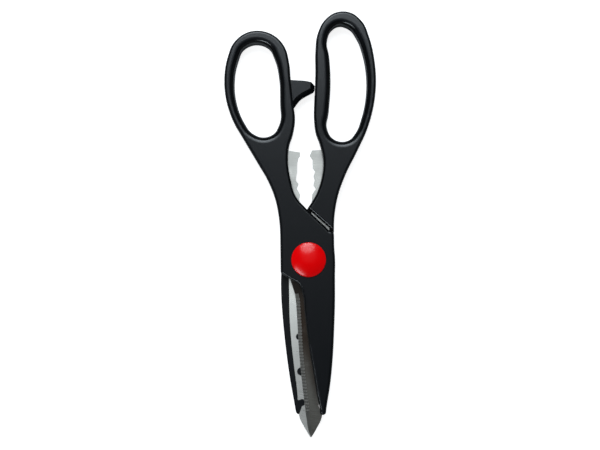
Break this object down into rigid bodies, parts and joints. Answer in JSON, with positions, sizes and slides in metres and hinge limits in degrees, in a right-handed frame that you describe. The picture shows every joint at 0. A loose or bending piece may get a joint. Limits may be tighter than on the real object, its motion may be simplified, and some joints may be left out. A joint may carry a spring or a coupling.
{
  "type": "poultry shears",
  "caption": "Poultry shears with two overmoulded steel blades, looped handles, toothed cracking jaws, a serrated edge and a domed pivot cap.",
  "frame": {"origin": "on the pivot axis, on the flat back that the closed shears lie on", "axes": "+Y toward the handles, +X toward the finger loop, +Z out of the front, toward the domed cap"},
  "size_m": [0.0783, 0.2202, 0.0142],
  "materials": {
    "handle_plastic": "satin black moulded plastic with a fine texture",
    "blade_steel": "satin ground stainless steel with fine grinding marks",
    "cap_red": "glossy moulded plastic",
    "fastener_steel": "plain turned and pressed steel",
    "bushing_bronze": "plain bearing bronze",
    "washer_nylon": "natural nylon"
  },
  "bodies": {
    "rear_half": {"rear_handle": "handle_plastic", "rear_blade": "blade_steel", "rear_cap": "cap_red", "pivot_bolt": "fastener_steel", "pivot_nut": "fastener_steel", "nut_washer": "fastener_steel", "friction_washer": "washer_nylon", "thrust_washer": "fastener_steel", "spring_washer": "fastener_steel"},
    "front_half": {"front_handle": "handle_plastic", "front_blade": "blade_steel", "front_cap": "cap_red", "pivot_bushing": "bushing_bronze"}
  },
  "joints": [
    {"name": "pivot", "type": "hinge", "parent": "rear_half", "child": "front_half", "pos_m": [0, 0, 0.0056], "axis": [0, 0, 1], "range_deg": [0, 60]}
  ]
}
